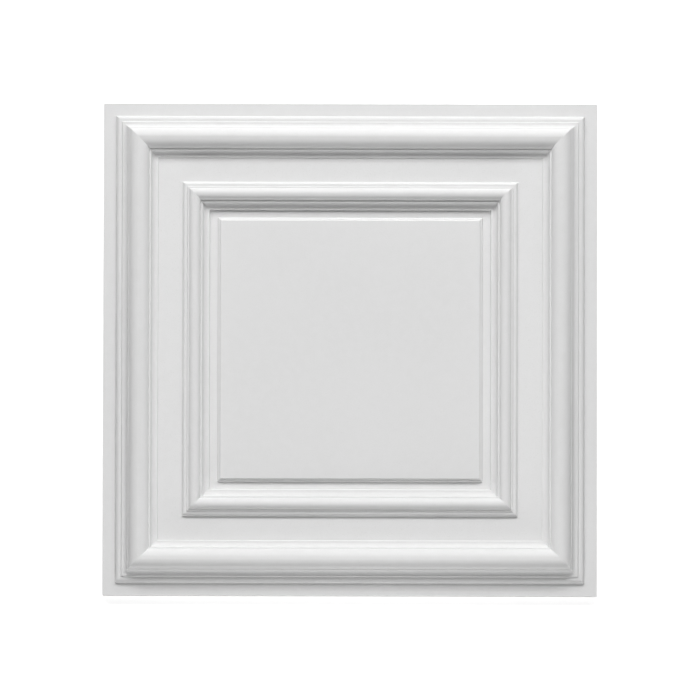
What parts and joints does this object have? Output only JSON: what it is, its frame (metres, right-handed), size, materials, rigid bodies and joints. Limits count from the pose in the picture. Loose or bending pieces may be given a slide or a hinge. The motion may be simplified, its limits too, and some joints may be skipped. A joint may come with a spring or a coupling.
{
  "type": "polyurethane ceiling panel",
  "caption": "Square moulded ceiling panel: flat rim, deep mitred outer moulding, recessed flat band, smaller inner moulding and a slightly raised plain field.",
  "frame": {"origin": "centre of the flat back face", "axes": "+Z out of the decorated face, +X and +Y along the panel's square edges"},
  "size_m": [0.595, 0.595, 0.0343],
  "materials": {
    "primed_polyurethane": "rigid polyurethane foam with a dense smooth skin and a matt white factory primer"
  },
  "bodies": {
    "root": {"ceiling_panel": "primed_polyurethane"}
  },
  "joints": []
}
